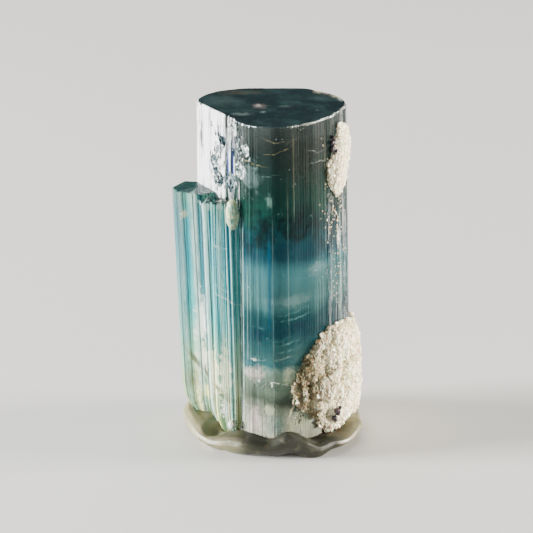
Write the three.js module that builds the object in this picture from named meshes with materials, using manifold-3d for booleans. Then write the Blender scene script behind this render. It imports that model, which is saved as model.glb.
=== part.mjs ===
// An indicolite tourmaline prism with three side crystals grown into its left flank, two crusts of
// white albite and small dark grains, pressed into a low pad of putty that holds it upright.
// Millimetres, +Z up, -Y the front. The origin lies on the surface that the pad stands on, under the
// axis of the main crystal. Angles are in degrees, anticlockwise from +X as seen from above.

import * as THREE from "three";
import { mergeVertices } from "three/addons/utils/BufferGeometryUtils.js";
import Module from "manifold-3d";

const wasm = await Module();
wasm.setup();

// Main sizes.
const HEIGHT = 35; // the flat top of the main crystal
const MAIN_FOOT = 0.9; // its underside, inside the pad
const FLARE = 0.05; // how much wider it is at z = 0 than at the top, as a share
const MAIN_LEAN = 0.35; // how far to +X of the top its axis is at z = 0
const RIM_BEVEL = 0.16; // height and width of the worn edge round a flat top
const RIDGE = 0.16; // height of the lengthwise ridges
const CLEARANCE = 0.3; // gap between pieces that touch

// Flat prism faces of the main crystal: [direction of the normal, distance from the axis].
const MAIN_FACES = [
  [90, 7.2],
  [111, 7.75],
  [137, 8.2],
  [156, 8.15],
  [174, 7.85],
  [211, 5.3],
  [248, 6.5],
  [270, 7.25],
  [286, 6.9],
  [303, 6.5],
  [320, 6.45],
  [337, 6.7],
  [357, 7.5],
  [24, 7.95],
  [50, 7.85],
];
const MAIN_RIDGES = 132; // outline points, each a ridge or a furrow
const MAIN_FOOT_TAPER = { height: 1.2, scale: 0.94 }; // of its rounded lower end

// Flat prism faces of the side crystals, for a radius of 1.
const SIDE_FACES = [
  [30, 0.94],
  [90, 0.86],
  [150, 0.95],
  [200, 0.98],
  [250, 0.9],
  [300, 0.95],
  [340, 0.9],
];
const SIDE_RIDGES = 40;
const SIDE_RIDGE = 0.12;
// Levels below the top: [height above the foot, scale of the outline].
const SIDE_LEVELS = [
  [0, 0.7],
  [1, 0.96],
  [3, 1.05],
];

// Side crystals: axis at the top, radius, ends, how far the axis leans per millimetre of height, and
// how rough the broken top is.
const SIDE_CRYSTALS = [
  { x: -7.5, y: 0.6, radius: 2.4, top: 26.5, foot: 2.6, lean: -0.045, rough: 0.03 },
  { x: -5.4, y: -2.1, radius: 1.8, top: 26.1, foot: 2.2, lean: -0.04, rough: 0.35 },
  { x: -4.4, y: -3.8, radius: 1.6, top: 26.7, foot: 1.7, lean: -0.025, rough: 0.4 },
];

// Hollows broken or etched into the skin: direction, height, radius of the bite and its depth.
const HOLLOWS = [
  { angle: 225, z: 34, radius: 1.5, depth: 0.4 },
  { angle: 206, z: 32.2, radius: 1.6, depth: 0.4 },
  { angle: 243, z: 32.3, radius: 1.4, depth: 0.35 },
  { angle: 234, z: 30, radius: 1.8, depth: 0.5 },
  { angle: 190, z: 29.6, radius: 1.3, depth: 0.35 },
  { angle: 218, z: 28.4, radius: 2, depth: 0.6 },
  { angle: 200, z: 28, radius: 1.5, depth: 0.45 },
  { angle: 297, z: 4, radius: 3, depth: 0.45 },
];

// Chips in the rim of the flat top: direction and radius of the bite, which is centred above the top
// by a share of its radius and reaches into the rim by another.
const RIM_CHIPS = [
  { angle: 28, radius: 0.8 },
  { angle: 52, radius: 1.1 },
  { angle: 160, radius: 0.8 },
  { angle: 236, radius: 0.7 },
  { angle: 318, radius: 0.55 },
];
const CHIP_RISE = 0.55;
const CHIP_DEPTH = 0.6;
const LUMP_ROUGHNESS = 0.18; // how far the vertices of a bite, grain or lens are sunk, as a share

// A pale lens-shaped crystal on the innermost side crystal: centre and half lengths.
const LENS = { centre: [-3.95, -5.05, 25.2], half: [0.55, 0.6, 1.45] };

// Crusts: how thick their lumps are at the front and at the back, how many columns and rows of lumps,
// and the edge as [height, front angle, back angle] from the bottom up.
const LOWER_CRUST = {
  thickness: [1.2, 0.05],
  columns: 28,
  rows: 24,
  seed: 11,
  edge: [
    [1.6, -42, 50],
    [2.6, -46, 54],
    [4.1, -55, 56],
    [6, -73, 58],
    [7.2, -75.5, 57],
    [8.7, -71, 54],
    [10.2, -62, 48],
    [11.7, -52, 26],
    [12.9, -33, -23],
  ],
};
const UPPER_CRUST = {
  thickness: [0.5, 0.15],
  columns: 14,
  rows: 16,
  seed: 23,
  edge: [
    [26.6, -31, -22],
    [28.4, -35, 0],
    [30, -33, 8],
    [31.8, -29, 6],
    [33.6, -22, -14],
  ],
};
const CRUST_EDGE = 0.22; // thickness at a crust's edge, under the lumps
const CRUST_RELIEF = 0.4; // how much the lumps differ, as a share

// Strings of dark grains beside the crusts: how far they stand off the main crystal's outline, and
// each grain as [angle, height, radius].
const UPPER_GRAINS = {
  standOff: 0.75,
  grains: [
    [-33.5, 32.7, 0.34],
    [-34.5, 32.15, 0.42],
    [-33, 31.55, 0.44],
  ],
};
const LOWER_GRAINS = {
  standOff: 1.75,
  grains: [
    [-41, 4.2, 0.5],
    [-38, 3.8, 0.42],
    [-40, 3.4, 0.45],
  ],
};

// The pad: half of its section, from the axis along the flat underside and back over the top, as
// shares of the pad's reach and of the height of its lip.
const PAD_SECTION = [
  [0, 0],
  [0.76, 0],
  [0.86, 0.1],
  [0.95, 0.32],
  [1, 0.58],
  [0.99, 0.8],
  [0.94, 0.97],
  [0.87, 1],
  [0.75, 0.9],
  [0, 0.82],
];
// Round the pad: [direction, reach, height of the lip].
const PAD_RING = [
  [0, 9.3, 2.2],
  [35, 9.4, 2.4],
  [70, 9.2, 2.6],
  [105, 9.1, 2.5],
  [140, 9.5, 2.7],
  [172, 9.2, 2.7],
  [196, 8.9, 2.6],
  [222, 8.9, 2],
  [248, 8.6, 2.5],
  [268, 8.3, 2.2],
  [284, 8.4, 2.9],
  [306, 8.9, 1.8],
  [330, 9.5, 1.7],
  [346, 9.7, 2.2],
];
const PAD_SIDES = 60;
// Hollows in the pad's edge, and how far outside the main crystal's skin the edge is there.
const THUMB_MARK = { angle: 222, z: 2.5, radius: 2, depth: 0.75, outside: 1.2 };
const PAD_NOTCH = { angle: 304, z: 0.35, radius: 2.3, depth: 0.75, outside: 0.6 };

const radians = THREE.MathUtils.degToRad;
const lerp = THREE.MathUtils.lerp;

// A repeatable number from 0 to 1 for a whole number and a seed.
function pick(index, seed) {
  const wave = Math.sin(index * 12.9898 + seed * 78.233) * 43758.5453;
  return wave - Math.floor(wave);
}

// A closed mesh as a solid that can be joined and cut.
function solid(geometry) {
  geometry.deleteAttribute("normal");
  geometry.deleteAttribute("uv");
  const merged = mergeVertices(geometry, 1e-4);
  return new wasm.Manifold(
    new wasm.Mesh({
      numProp: 3,
      vertProperties: merged.getAttribute("position").array,
      triVerts: new Uint32Array(merged.index.array),
    }),
  );
}

// Moves every vertex of a geometry to where place(point) puts it.
function warp(geometry, place) {
  const position = geometry.getAttribute("position");
  const point = new THREE.Vector3();
  for (let i = 0; i < position.count; i++) {
    point.fromBufferAttribute(position, i);
    place(point);
    position.setXYZ(i, point.x, point.y, point.z);
  }
  return geometry;
}

// Distance from the axis to the outline that the faces cut out, in the direction a (radians).
function faceRadius(faces, a) {
  const reaches = faces
    .map(([degrees, distance]) => [Math.cos(a - radians(degrees)), distance])
    .filter(([cosine]) => cosine > 0.1)
    .map(([cosine, distance]) => distance / cosine);
  return Math.min(...reaches);
}

// Width of the main crystal at a height, as a share of its width at the top.
function mainScale(z) {
  return 1 + FLARE * (1 - z / HEIGHT);
}

// Distance from the main axis to the smooth outline, without ridges.
function mainRadius(a, z) {
  return faceRadius(MAIN_FACES, a) * mainScale(z);
}

// How far to +X the main axis is at a height.
function mainShift(z) {
  return MAIN_LEAN * (1 - z / HEIGHT);
}

// A point at a direction (radians), a distance outside the main outline and a height.
function onMain(a, outside, z) {
  const r = mainRadius(a, z) + outside;
  return new THREE.Vector3(mainShift(z) + r * Math.cos(a), r * Math.sin(a), z);
}

// A striated prism. levels are [height, scale of the outline]; axisAt gives the axis at a height, and
// lift raises the points of the top.
function prism({ radiusAt, points, ridge, seed, levels, axisAt, lift, grow }) {
  const outline = new THREE.Shape();
  for (let i = 0; i < points; i++) {
    const a = (i / points) * 2 * Math.PI;
    const r = radiusAt(a) - ridge * pick(i, seed) + grow;
    outline[i ? "lineTo" : "moveTo"](r * Math.cos(a), r * Math.sin(a));
  }
  const steps = levels.length - 1;
  const geometry = new THREE.ExtrudeGeometry(outline, { depth: steps, steps, bevelEnabled: false });
  return solid(
    warp(geometry, (p) => {
      const step = Math.round(p.z);
      const [z, scale] = levels[step];
      const [x, y] = axisAt(z);
      const raise = step === steps ? lift(p) : 0;
      p.set(x + p.x * scale, y + p.y * scale, z + raise);
    }),
  );
}

function mainCrystal(grow) {
  const top = HEIGHT + grow;
  const foot = MAIN_FOOT - grow;
  const width = faceRadius(MAIN_FACES, 0);
  return prism({
    radiusAt: (a) => faceRadius(MAIN_FACES, a),
    points: MAIN_RIDGES,
    ridge: grow ? 0 : RIDGE,
    seed: 1,
    levels: [
      [foot, MAIN_FOOT_TAPER.scale * mainScale(foot)],
      [foot + MAIN_FOOT_TAPER.height, mainScale(foot + MAIN_FOOT_TAPER.height)],
      [HEIGHT / 2, mainScale(HEIGHT / 2)],
      [top - RIM_BEVEL, mainScale(top)],
      [top, 1 - RIM_BEVEL / width],
    ],
    axisAt: (z) => [mainShift(z), 0],
    lift: () => 0,
    grow,
  });
}

function sideCrystal({ x, y, radius, top, foot, lean, rough }, index, grow) {
  const seed = 3 + 2 * index;
  const worn = 1 - RIM_BEVEL / radius;
  return prism({
    radiusAt: (a) => radius * faceRadius(SIDE_FACES, a),
    points: SIDE_RIDGES,
    ridge: grow ? 0 : SIDE_RIDGE,
    seed,
    levels: [
      ...SIDE_LEVELS.map(([above, scale]) => [foot + above - (above ? 0 : grow), scale]),
      [top + grow - RIM_BEVEL - rough, 1],
      [top + grow, worn],
    ],
    axisAt: (z) => [x + lean * (z - top), y],
    lift: (p) => rough * (2 * pick(Math.round(7 * p.x + 13 * p.y), seed) - 1),
    grow,
  });
}

// The fused crystals, without hollows, with all faces moved out by grow, and then without ridges.
function crystals(grow) {
  const sides = SIDE_CRYSTALS.map((side, i) => sideCrystal(side, i, grow));
  return sides.reduce((joined, side) => joined.add(side), mainCrystal(grow));
}

// A rough ball, with flat facets.
function lump(centre, half, detail, seed) {
  const geometry = warp(new THREE.IcosahedronGeometry(1, detail), (p) => {
    const cell = Math.round(31 * p.x + 57 * p.y + 91 * p.z);
    p.multiplyScalar(1 - LUMP_ROUGHNESS * pick(cell, seed));
    p.multiply(half).add(centre);
  });
  return solid(geometry);
}

// A ball that bites depth into the main crystal's skin, or into a skin outside it.
function bite({ angle, z, radius, depth, outside = 0 }, seed) {
  const centre = onMain(radians(angle), outside + radius - depth, z);
  return lump(centre, new THREE.Vector3(radius, radius, radius), 1, seed);
}

function tourmaline() {
  const lens = lump(new THREE.Vector3(...LENS.centre), new THREE.Vector3(...LENS.half), 1, 40);
  let body = crystals(0).add(lens);
  HOLLOWS.forEach((hollow, i) => {
    body = body.subtract(bite(hollow, 50 + i));
  });
  RIM_CHIPS.forEach(({ angle, radius }, i) => {
    const chip = { angle, radius, z: HEIGHT + radius * CHIP_RISE, depth: radius * CHIP_DEPTH };
    body = body.subtract(bite(chip, 70 + i));
  });
  return body;
}

// The front and back angles of a crust at a height.
function edgeAt(edge, z) {
  const last = edge.length - 1;
  const above = Math.min(last, Math.max(1, edge.findIndex(([height]) => height >= z)));
  const [low, high] = [edge[above - 1], edge[above]];
  const share = THREE.MathUtils.clamp((z - low[0]) / (high[0] - low[0]), 0, 1);
  return [lerp(low[1], high[1], share), lerp(low[2], high[2], share)];
}

// A crust over the main crystal: a block bent round it, thick in the middle and thin at the edges,
// with a lump or a dent at every vertex. grow moves all its sides out.
function crust({ thickness, columns, rows, seed, edge }, grow) {
  const [low, high] = [edge[0][0], edge[edge.length - 1][0]];
  const block = new THREE.BoxGeometry(1, 1, 1, columns, rows, 1);
  return solid(
    warp(block, (p) => {
      const [across, up] = [p.x + 0.5, p.y + 0.5];
      const column = Math.round(across * columns);
      const row = Math.round(up * rows);
      const z = lerp(low - grow, high + grow, up);
      const [front, back] = edgeAt(edge, z);
      const spread = THREE.MathUtils.radToDeg(grow / mainRadius(0, z));
      const a = radians(lerp(front - spread, back + spread, across));
      const bulge = Math.sqrt(Math.sin(Math.PI * across) * Math.sin(Math.PI * up));
      const relief = 1 + CRUST_RELIEF * (2 * pick(37 * column + 101 * row, seed) - 1);
      const depth = CRUST_EDGE + lerp(...thickness, across) * bulge * relief;
      const outside = p.z > 0 ? CLEARANCE + depth + grow : CLEARANCE - grow;
      p.copy(onMain(a, outside, z));
    }),
  );
}

// A string of grains that overlap each other, standing off the main crystal's outline.
function grainString({ standOff, grains }, grow) {
  return grains
    .map(([angle, z, radius], i) => {
      const reach = radius + grow;
      const half = new THREE.Vector3(reach, reach, reach * 1.15);
      return lump(onMain(radians(angle), standOff, z), half, 0, 80 + i);
    })
    .reduce((joined, grain) => joined.add(grain));
}

// The reach and the lip height of the pad in the direction a (radians).
function padRing(a) {
  const degrees = THREE.MathUtils.euclideanModulo(THREE.MathUtils.radToDeg(a), 360);
  const turn = [...PAD_RING, [360, PAD_RING[0][1], PAD_RING[0][2]]];
  const next = turn.findIndex(([direction]) => direction > degrees);
  const [from, to] = [turn[next - 1], turn[next]];
  const share = THREE.MathUtils.smoothstep(degrees, from[0], to[0]);
  return [lerp(from[1], to[1], share), lerp(from[2], to[2], share)];
}

// The pad of putty, with a thumb mark, a notch under its front and room for what stands in it.
function pad(standing) {
  const section = PAD_SECTION.map(([r, z]) => new THREE.Vector2(r, z));
  const turned = new THREE.LatheGeometry(section, PAD_SIDES);
  // LatheGeometry turns about +Y: stand it up, then press it out of round.
  turned.rotateX(Math.PI / 2);
  warp(turned, (p) => {
    const [reach, lip] = padRing(Math.atan2(p.y, p.x));
    p.multiply(new THREE.Vector3(reach, reach, lip));
  });
  return standing.reduce(
    (body, other) => body.subtract(other),
    solid(turned)
      .subtract(bite(THUMB_MARK, 90))
      .subtract(bite(PAD_NOTCH, 91)),
  );
}

function mesh(name, body, material) {
  const { numProp, numVert, vertProperties, triVerts } = body.getMesh();
  const position = new Float32Array(numVert * 3);
  for (let i = 0; i < numVert; i++) {
    position.set(vertProperties.subarray(i * numProp, i * numProp + 3), i * 3);
  }
  const geometry = new THREE.BufferGeometry();
  geometry.setAttribute("position", new THREE.BufferAttribute(position, 3));
  geometry.setIndex(new THREE.BufferAttribute(triVerts, 1));
  geometry.computeVertexNormals();
  const made = new THREE.Mesh(geometry, material);
  made.name = name;
  return made;
}

const tourmalineBlue = new THREE.MeshStandardMaterial({ color: 0x4f8b93, roughness: 0.12, metalness: 0 });
const albiteWhite = new THREE.MeshStandardMaterial({ color: 0xe9dfcb, roughness: 0.85, metalness: 0 });
const darkMineral = new THREE.MeshStandardMaterial({ color: 0x15131a, roughness: 0.4, metalness: 0 });
const puttyGrey = new THREE.MeshStandardMaterial({ color: 0xb3aa98, roughness: 0.6, metalness: 0 });

const crystalRoom = crystals(CLEARANCE);
const lowerCrustRoom = crust(LOWER_CRUST, CLEARANCE);

// A crust with room in it for a string of dark grains.
function crustWithGrains(shape, grains) {
  return crust(shape, 0).subtract(grainString(grains, CLEARANCE));
}

const specimen = new THREE.Group();
specimen.add(
  mesh("tourmaline_crystal", tourmaline(), tourmalineBlue),
  mesh("lower_albite_crust", crustWithGrains(LOWER_CRUST, LOWER_GRAINS), albiteWhite),
  mesh("upper_albite_crust", crustWithGrains(UPPER_CRUST, UPPER_GRAINS), albiteWhite),
  mesh("lower_dark_grains", grainString(LOWER_GRAINS, 0), darkMineral),
  mesh("upper_dark_grains", grainString(UPPER_GRAINS, 0), darkMineral),
  mesh("putty_pad", pad([crystalRoom, lowerCrustRoom]), puttyGrey),
);

export default specimen;
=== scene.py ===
# Finishes the indicolite specimen: the striated tourmaline with its side crystals, the sugary albite
# crusts, the dark grains and the putty pad, on a pale floor under soft light.
# Shapes are worked out in millimetres and turned into metres as each mesh is made. -Y is the front, +Z up.
# Directions are in degrees round the main crystal's axis: 270 is the front, 180 the left, 0 the right.

import math

import bmesh
import bpy
import numpy as np
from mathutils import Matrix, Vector, noise
from mathutils.bvhtree import BVHTree


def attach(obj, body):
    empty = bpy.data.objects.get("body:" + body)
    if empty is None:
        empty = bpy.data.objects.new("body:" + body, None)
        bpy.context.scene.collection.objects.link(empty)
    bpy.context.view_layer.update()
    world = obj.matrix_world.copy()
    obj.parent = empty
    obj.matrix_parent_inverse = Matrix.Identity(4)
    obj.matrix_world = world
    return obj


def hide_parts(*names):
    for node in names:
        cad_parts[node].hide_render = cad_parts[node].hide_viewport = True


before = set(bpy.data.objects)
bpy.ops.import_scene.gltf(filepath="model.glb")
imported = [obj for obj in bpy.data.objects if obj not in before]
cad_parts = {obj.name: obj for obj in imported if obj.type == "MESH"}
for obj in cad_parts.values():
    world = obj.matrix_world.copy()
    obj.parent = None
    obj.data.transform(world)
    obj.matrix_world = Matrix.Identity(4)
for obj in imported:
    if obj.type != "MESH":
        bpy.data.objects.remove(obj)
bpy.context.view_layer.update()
MM = 0.001

# ---- sizes, the same as the solids' ----
HEIGHT = 35.0  # flat top of the main crystal
MAIN_FOOT = 0.9  # its underside, sunk in the pad
FLARE = 0.05  # widening from the top down to z = 0
MAIN_LEAN = 0.35  # shift of the axis to +X from the top down to z = 0
MAIN_FACES = [  # (direction of a prism face's normal, its distance from the axis)
    (90, 7.2), (111, 7.75), (137, 8.2), (156, 8.15), (174, 7.85), (211, 5.3), (248, 6.5), (270, 7.25),
    (286, 6.9), (303, 6.5), (320, 6.45), (337, 6.7), (357, 7.5), (24, 7.95), (50, 7.85),
]
SIDE_FACES = [(30, 0.94), (90, 0.86), (150, 0.95), (200, 0.98), (250, 0.9), (300, 0.95), (340, 0.9)]
SIDE_LEVELS = [(0, 0.7), (1, 0.96), (3, 1.05)]  # (height above the foot, scale)
# x, y: the axis at the top; lean: its shift in x per millimetre of height; rough: height of the broken
# end; ridge: the finest and the broadest one; soften: rounds of smoothing that its stripes get.
SIDE_CRYSTALS = [
    {"x": -7.5, "y": 0.6, "radius": 2.4, "top": 26.5, "foot": 2.6, "lean": -0.045, "rough": 0.05,
     "ridge": (0.3, 1.1), "soften": 30},
    {"x": -5.4, "y": -2.1, "radius": 1.8, "top": 26.1, "foot": 2.2, "lean": -0.04, "rough": 0.35,
     "ridge": (0.08, 0.6), "soften": 1},
    {"x": -4.4, "y": -3.8, "radius": 1.6, "top": 26.7, "foot": 1.7, "lean": -0.025, "rough": 0.4,
     "ridge": (0.06, 0.5), "soften": 1},
]
HOLLOWS = [  # bites out of the skin: direction, height, radius, depth
    (225, 34.0, 1.5, 0.4), (206, 32.2, 1.6, 0.4), (243, 32.3, 1.4, 0.35), (234, 30.0, 1.8, 0.5),
    (190, 29.6, 1.3, 0.35), (218, 28.4, 2.0, 0.6), (200, 28.0, 1.5, 0.45), (297, 4.0, 3.0, 0.45),
    (276, 2.4, 1.3, 0.22), (309, 6.6, 1.5, 0.25), (287, 6.4, 1.1, 0.15),
]
RIM_CHIPS = [(28, 0.8), (52, 1.1), (160, 0.8), (236, 0.7), (318, 0.55)]  # direction, radius
CHIP_RISE, CHIP_DEPTH = 0.55, 0.6  # shares of a rim chip's radius, above the top and into the skin
# Two pale growths on the front side crystal.
LENS = {"centre": (-3.85, -5.15, 25.45), "half": (0.72, 0.6, 1.75)}
BEAD = {"centre": (-3.95, -5.45, 3.0), "half": (0.5, 0.46, 0.52)}

# ---- skin and marks of the tourmaline ----
MAIN_COLUMNS = 900
SIDE_COLUMNS = 260
WORN_CORNER = 22  # columns, each way, over which the main outline's corners are worn off
RIDGE_WIDTHS = (0.07, 0.62)  # the finest and the broadest ridge
SIDE_RIDGE = 0.11  # height of the side crystals' ridges
STRIPED = 10  # rounds of smoothing up to which a side crystal counts as striped
SKIN = 0.02  # play between pieces that touch
RELIEF = [  # (direction, height of the ridges there)
    (20, 0.12), (60, 0.1), (120, 0.1), (174, 0.05), (198, 0.12), (226, 0.2), (244, 0.17), (256, 0.07),
    (266, 0.04), (300, 0.045), (316, 0.08), (335, 0.13), (352, 0.12),
]
FADE = 1.4  # a pale area or a line ends at this multiple of its half size
PALE_AREAS = [  # silvery, frosted skin, partly painted highlight where the left face and the right edge catch the light: direction, half its width, height, half its height, strength
    (182, 24, 31.5, 5, 1), (216, 12, 32, 4, 0.7), (233, 6, 14, 15, 0.5),
    (222, 12, 15, 14, 0.45), (341, 13, 16, 8, 0.4), (336, 8, 25, 3, 0.3),
    (8, 14, 18, 16, 0.5), (344, 8, 32, 4, 0.15), (238, 8, 31.5, 2.6, 0.3),
]
LINES = [  # light lines, partly painted highlight such as the bright right edge at 350, and dark lines with a negative strength, along the ridges: direction, half width, lowest, highest, strength
    (270.4, 0.2, 3, 27, 0.26), (232.5, 0.55, 1.5, 25, 0.65), (238.2, 0.7, 1.5, 25, 0.8),
    (241.5, 0.35, 1.5, 26, 0.6), (247, 0.35, 9, 20, 0.3), (256.5, 0.2, 3, 24, 0.1),
    (289, 0.25, 25, 34.4, 0.36), (300, 0.2, 24, 33, 0.1), (308, 0.2, 22, 34, 0.1),
    (325, 0.3, 20, 34.6, 0.4), (219, 1.2, 28.5, 34, 1), (267.4, 1.3, 14, 24, -0.8),
    (293.5, 0.2, 25, 34.5, 0.12), (315, 0.2, 24, 34.4, 0.22), (283, 0.25, 12, 30, 0.25),
    (229.5, 0.5, 10, 22, -0.7), (244.5, 0.6, 15, 24, -0.6), (224.5, 1.5, 28, 32.5, -1),
    (215, 1.6, 28, 31, -1), (206.5, 1, 30.5, 34, -0.8), (228, 0.8, 28, 31.5, 0.9),
    (303.5, 0.2, 26, 34, 0.1), (350, 0.7, 5, 27, 0.7),
]
SIDE_LINES = [  # the same for each side crystal, without the heights: direction, half width, strength
    [(206, 6, -0.5), (224, 5, 0.25), (238, 4, -0.3), (258, 8, 0.9), (280, 3, -1)],
    # The dark line at 194 on the second side crystal is painted shade in the groove along its left edge, next
    # to the first.
    [(194, 6, -0.8), (216, 9, 0.95), (240, 2.5, -0.4), (248, 2, 0.5), (258, 2.5, -0.6),
     (270, 3, 0.6), (282, 2.5, -0.6)],
    [(238, 3, 0.5), (249, 2.5, -0.7), (262, 2, 0.7), (271, 3, -0.9), (281, 2.5, 0.7),
     (291, 3, -0.8), (302, 3, 0.5)],
]
ETCHED = [  # hackly ground: direction, half width, height, half height, number of chips
    (232, 14, 32.6, 2.2, 190), (193, 12, 29.8, 2.8, 160), (216, 16, 28.2, 0.9, 80),
]
CHIP_RADII = (0.12, 0.48)
RIM_NICKS = 60
MAIN_CRACKS = [  # middle x, half its run, height, slope, bow, thickness, strength, tint
    (-1.8, 1.6, 31.1, -0.2, 0, 0.045, 0.6, "honey"), (0.7, 1.6, 32.45, 0.27, 0.05, 0.05, 0.7, "honey"),
    (-0.6, 2.2, 29.9, 0.12, 0.08, 0.05, 0.4, "haze"), (0.9, 2.2, 33.4, -0.06, 0.1, 0.05, 0.4, "honey"),
    (4.5, 1.1, 31.9, -0.18, 0, 0.06, 0.5, "white"), (4.5, 1.1, 30.8, -0.14, 0, 0.08, 0.8, "white"),
    (1.3, 1.1, 10.8, 0.1, 0.1, 0.09, 0.6, "mist"), (-1.3, 0.9, 10.4, -0.1, 0.3, 0.07, 0.6, "mist"),
    # The "shadow" line at 7.9 is painted shadow along an arc in the foot, and the thin white line at 8.3
    # painted highlight above it.
    (-0.2, 1.9, 7.9, 0, -0.3, 0.4, 0.5, "shadow"), (0.5, 1.9, 8.3, 0.05, -0.3, 0.06, 0.5, "white"),
    (2.6, 2.9, 14.9, 0.16, 0.05, 0.09, 0.5, "teal"), (2.2, 2.2, 15.6, 0.14, 0.05, 0.08, 0.35, "teal"),
    (1.6, 1.7, 12.3, 0.2, 0.08, 0.07, 0.5, "teal"), (1.8, 1.5, 11.6, 0.2, 0.1, 0.07, 0.6, "teal"),
    (1.2, 1.8, 12.8, 0.2, 0.08, 0.05, 0.4, "teal"), (-1.4, 1, 13.9, -0.05, 0.1, 0.08, 0.4, "teal"),
    (0.4, 2.8, 16.9, 0.06, 0.07, 0.07, 0.3, "teal"), (0.4, 2.4, 9.85, 0.02, 0.05, 0.1, 0.5, "glass"),
    (2.3, 0.7, 5.6, 2.6, 0, 0.35, 0.7, "cream"), (3.6, 1.2, 6.9, -0.5, -0.5, 0.12, 0.6, "cream"),
]
SIDE_CRACKS = [  # the same on the side crystals
    (-6.7, 3.4, 7.5, -0.9, 0.06, 0.5, 0.95, "olive"), (-6.4, 3, 6.75, -0.9, 0.06, 0.2, 0.6, "cream"),
    (-4.4, 1.8, 16.4, -0.43, 0, 0.07, 0.9, "white"), (-4.6, 1.4, 17.4, -0.3, 0.1, 0.05, 0.7, "white"),
    (-8.6, 1.4, 13.6, 0.1, 0.2, 0.25, 0.35, "olive"), (-5.2, 1, 21.9, -0.2, 0.1, 0.06, 0.7, "white"),
]
WIDE_CRACK = 0.25  # a thicker one is an unbroken line
BLOTCHES = [  # centre, half sizes, strength, tint
    ((-0.2, -6.9, 27.4), (0.42, 1.5, 0.8), 0.4, "glass"),
    ((-1.28, 0.7, 35), (0.35, 0.6, 0.3), 0.9, "white"), ((-1.2, 0.6, 35), (0.8, 1.2, 0.3), 0.4, "rose"),
    ((-2.8, -2.3, 35), (1.1, 0.7, 0.3), 0.5, "mist"), ((-5, 2.4, 35), (2.2, 2.4, 0.3), 0.14, "mist"),
    ((1.4, 0.5, 35), (0.8, 0.6, 0.3), 0.25, "mist"), ((4.9, 5.8, 34.95), (0.68, 0.9, 0.5), 0.8, "cream"),
    ((5.85, 5.2, 34.95), (0.68, 0.8, 0.5), 0.8, "rose"),
    ((6.6, 4.25, 34.95), (0.65, 0.8, 0.5), 0.9, "cream"),
    ((7.1, 3.1, 34.95), (0.5, 0.9, 0.6), 0.8, "white"), ((-0.8, -1.5, 35), (0.35, 0.5, 0.3), 0.6, "mist"),
    ((-3, 5.4, 35), (3.4, 1, 0.3), 0.12, "honey"), ((5.2, 3.6, 35), (1.8, 1, 0.3), 0.1, "mist"),
    # The narrow white spots at heights 8.1 and 8.3 are painted highlights along the arc of painted shadow at
    # about 8; the "shadow" spots at 6.4 and 6.8 are painted shadow.
    ((4.6, -0.9, 35), (0.15, 0.2, 0.3), 0.6, "mist"), ((-1.2, -6.6, 8.3), (0.14, 0.8, 0.2), 0.6, "white"),
    ((0.1, -7.1, 8.1), (0.1, 0.8, 0.35), 0.6, "white"),
    ((-1.7, -6.6, 10.5), (0.35, 0.9, 0.2), 0.6, "white"), ((-1.6, -6.6, 9), (1.4, 1.8, 0.9), 0.5, "rose"),
    ((2, -6.9, 8.8), (1, 1.8, 1.1), 0.5, "straw"), ((-1.6, -6.6, 6.8), (0.9, 2, 0.8), 0.7, "shadow"),
    ((1.3, -7, 6.4), (0.8, 2, 1), 0.6, "shadow"), ((-1.6, -6.7, 4), (1, 1.8, 1.6), 0.6, "rose"),
    ((0.7, -7.1, 3.6), (1, 1.8, 1.6), 0.6, "glass"), ((0, -7.1, 5.2), (0.8, 1.8, 0.7), 0.5, "straw"),
    ((2, -6.9, 3.2), (0.6, 1.8, 1.2), 0.6, "straw"), ((3.9, -5.8, 4.2), (1.6, 1.8, 1.8), 0.7, "bronze"),
    ((4.4, -5.6, 3.6), (0.35, 1, 0.35), 0.9, "white"),
    ((-8.8, -0.9, 24.2), (0.5, 1, 0.6), 0.5, "honey"), ((-6.6, -2.2, 5.3), (0.7, 1.8, 1), 0.9, "yolk"),
    ((-8.2, -0.9, 6.2), (1.2, 1.6, 2), 0.6, "olive"),
    ((-7.1, -1.8, 13), (0.75, 1.7, 3.2), 0.9, "white"),
    ((-6.9, -2, 9.4), (0.75, 1.7, 1.9), 0.9, "cream"),
    ((-9.3, -0.4, 14), (0.9, 2, 5.5), 0.6, "slate"),
    # The white spot at (-4.6, -4.4, 4.6) is a painted highlight at the foot of the front side crystal.
    ((-4.6, -4.4, 4.6), (0.6, 1.6, 1.1), 0.95, "white"), ((3, -5.8, 25), (2.6, 2.6, 2.4), 0.7, "ink"),
    ((1.2, -6.8, 22.2), (1.2, 1.6, 1.2), 0.9, "navy"), ((-0.4, -6.9, 24.4), (0.9, 1.6, 1.2), 0.8, "ink"),
    ((-1.1, -6.7, 23.7), (0.5, 1.5, 0.7), 0.8, "ink"), ((-2.2, -6.2, 25.4), (1, 1.6, 1.8), 0.4, "moss"),
    ((3.8, -5.9, 31.3), (2.8, 2.6, 3), 0.65, "umber"), ((-2.2, -6.3, 29.8), (1.3, 1.8, 1.8), 0.4, "haze"),
    ((4.6, -5, 19.8), (1.5, 1.8, 0.9), 0.18, "mist"), ((2.2, -6.6, 16.8), (2.4, 1.8, 0.7), 0.16, "mist"),
    ((-1.2, -6.7, 13.2), (0.6, 1.6, 1), 0.9, "navy"), ((2.6, -6.5, 14), (1.8, 1.8, 0.8), 0.7, "navy"),
    # The white spot at (-3.95, -5.6, 3) is a painted highlight on the bead.
    ((5.4, -4.4, 26), (0.9, 1.4, 1.6), 0.5, "moss"), ((-3.95, -5.6, 3), (0.6, 0.8, 0.6), 0.95, "white"),
    ((6.85, -1.7, 21.9), (0.3, 0.8, 1), 0.9, "white"), ((-5.7, -3.4, 8), (1, 1.6, 3), 0.8, "cream"),
    ((-4.5, -4.8, 8.4), (0.8, 1.6, 3.4), 0.6, "cream"), ((-6.4, -2.6, 25.8), (1, 1.6, 0.8), 0.8, "mist"),
    ((-5, -3.7, 26.1), (0.8, 1.4, 0.5), 0.8, "white"),
]
SMALL_BLOTCH = 0.7  # a narrower one has a finer ragged border
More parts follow.
